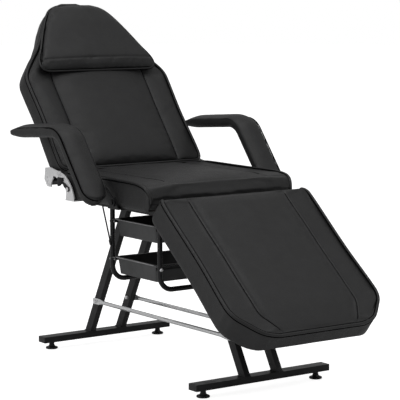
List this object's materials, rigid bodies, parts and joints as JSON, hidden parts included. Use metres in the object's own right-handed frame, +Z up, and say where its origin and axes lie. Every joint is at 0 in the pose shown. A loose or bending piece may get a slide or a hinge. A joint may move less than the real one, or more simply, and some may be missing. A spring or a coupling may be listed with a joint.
{
  "type": "tattoo chair",
  "caption": "Reclining chair with tapered backrest, sliding head pillow, hinged footrest, bent padded armrests, slide-out trays and a black trestle base on levelling feet",
  "frame": {"origin": "middle of the overall box on the floor, under the seat", "axes": "+Z up, -Y towards the foot end, +Y towards the head end, -X on the sitter's right, which is the side nearer in the picture and is called left here as seen from the foot end"},
  "size_m": [0.772, 1.414, 1.1345],
  "materials": {
    "black_upholstery": "matte faux leather",
    "board": "raw plywood",
    "black_frame": "satin powder coat",
    "chrome": "polished",
    "plated_steel": "bright zinc plate",
    "tray_plastic": "fine grain",
    "black_plastic": "satin"
  },
  "bodies": {
    "chair_base": {"arm_mount_plate_left": "plated_steel", "arm_mount_plate_right": "plated_steel", "arm_pivot_pins": "plated_steel", "back_hinge_arch_left": "plated_steel", "back_hinge_arch_right": "plated_steel", "back_hinge_pins": "plated_steel", "base_end_caps": "black_plastic", "base_tube_front": "black_frame", "base_tube_rear": "black_frame", "footrest_hinge_pins": "plated_steel", "leg_front_left": "black_frame", "leg_front_right": "black_frame", "leg_rear_left": "black_frame", "leg_rear_right": "black_frame", "seat_board": "board", "seat_cross_front": "black_frame", "seat_cross_rear": "black_frame", "seat_cushion": "black_upholstery", "seat_flange_screws": "plated_steel", "seat_frame_bolts": "plated_steel", "seat_rail_left": "black_frame", "seat_rail_right": "black_frame", "tie_bar_bolts": "plated_steel", "tie_bar_left": "chrome", "tie_bar_right": "chrome", "tray_hoop_front": "black_frame", "tray_hoop_rear": "black_frame", "tray_runner_bolts": "plated_steel", "tray_runners": "black_frame"},
    "backrest": {"back_cross_lower": "black_frame", "back_cross_upper": "black_frame", "back_rail_left": "black_frame", "back_rail_right": "black_frame", "backrest_board": "board", "backrest_cushion": "black_upholstery", "back_frame_bolts": "plated_steel", "ratchet_sector_left": "plated_steel", "ratchet_sector_right": "plated_steel", "sector_bolts": "plated_steel"},
    "pillow": {"head_pillow": "black_upholstery"},
    "footrest": {"foot_rail_left": "black_frame", "foot_rail_right": "black_frame", "foot_cross": "black_frame", "footrest_board": "board", "footrest_cushion": "black_upholstery", "foot_frame_bolts": "plated_steel"},
    "arm_left": {"armrest_pad_left": "black_upholstery", "armrest_bracket_left": "black_frame"},
    "arm_right": {"armrest_pad_right": "black_upholstery", "armrest_bracket_right": "black_frame"},
    "upper_tray": {"tray_upper": "tray_plastic"},
    "lower_tray": {"tray_lower": "tray_plastic"},
    "left_pawl": {"pawl_left": "plated_steel"},
    "right_pawl": {"pawl_right": "plated_steel"},
    "lever": {"release_lever": "black_frame", "release_grip": "black_plastic"},
    "foot_front_left": {"levelling_foot_front_left": "black_plastic"},
    "foot_front_right": {"levelling_foot_front_right": "black_plastic"},
    "foot_rear_left": {"levelling_foot_rear_left": "black_plastic"},
    "foot_rear_right": {"levelling_foot_rear_right": "black_plastic"}
  },
  "joints": [
    {"name": "backrest_recline", "type": "hinge", "parent": "chair_base", "child": "backrest", "pos_m": [0, 0.26835, 0.6], "axis": [1, 0, 0], "range_deg": [-52.1, 22]},
    {"name": "pillow_height", "type": "slide", "parent": "backrest", "child": "pillow", "axis": [0, 0.6143, 0.7891], "range_m": [-0.09, 0.02]},
    {"name": "footrest_tilt", "type": "hinge", "parent": "chair_base", "child": "footrest", "pos_m": [0, -0.22005, 0.5145], "axis": [1, 0, 0], "range_deg": [-39.8, 20]},
    {"name": "armrest_left_swing", "type": "hinge", "parent": "chair_base", "child": "arm_left", "pos_m": [-0.2886, -0.05005, 0.545], "axis": [-1, 0, 0], "range_deg": [0, 55]},
    {"name": "armrest_right_swing", "type": "hinge", "parent": "chair_base", "child": "arm_right", "pos_m": [0.2886, -0.05005, 0.545], "axis": [-1, 0, 0], "range_deg": [0, 55]},
    {"name": "upper_tray_slide", "type": "slide", "parent": "chair_base", "child": "upper_tray", "axis": [-1, 0, 0], "range_m": [0, 0.25]},
    {"name": "lower_tray_slide", "type": "slide", "parent": "chair_base", "child": "lower_tray", "axis": [-1, 0, 0], "range_m": [0, 0.25]},
    {"name": "left_pawl_lift", "type": "hinge", "parent": "chair_base", "child": "left_pawl", "pos_m": [-0.2878, 0.20866, 0.55974], "axis": [1, 0, 0], "range_deg": [0, 12], "stiffness_Nm_per_rad": 0.05, "springref_deg": -5.73},
    {"name": "right_pawl_lift", "type": "hinge", "parent": "chair_base", "child": "right_pawl", "pos_m": [0.2878, 0.20866, 0.55974], "axis": [1, 0, 0], "range_deg": [0, 12], "stiffness_Nm_per_rad": 0.05, "springref_deg": -5.73},
    {"name": "release_lever_pull", "type": "hinge", "parent": "chair_base", "child": "lever", "pos_m": [-0.19, 0.16195, 0.5145], "axis": [1, 0, 0], "range_deg": [0, 25], "stiffness_Nm_per_rad": 0.3, "springref_deg": -5.73},
    {"name": "foot_front_left_turn", "type": "hinge", "parent": "chair_base", "child": "foot_front_left", "pos_m": [-0.213, -0.41805, 0], "axis": [0, 0, 1], "continuous": true},
    {"name": "foot_front_right_turn", "type": "hinge", "parent": "chair_base", "child": "foot_front_right", "pos_m": [0.213, -0.41805, 0], "axis": [0, 0, 1], "continuous": true},
    {"name": "foot_rear_left_turn", "type": "hinge", "parent": "chair_base", "child": "foot_rear_left", "pos_m": [-0.213, 0.44195, 0], "axis": [0, 0, 1], "continuous": true},
    {"name": "foot_rear_right_turn", "type": "hinge", "parent": "chair_base", "child": "foot_rear_right", "pos_m": [0.213, 0.44195, 0], "axis": [0, 0, 1], "continuous": true}
  ],
  "couplings": [
    {"joint": "left_pawl_lift", "follows": "release_lever_pull", "ratio": 0.48},
    {"joint": "right_pawl_lift", "follows": "release_lever_pull", "ratio": 0.48}
  ]
}
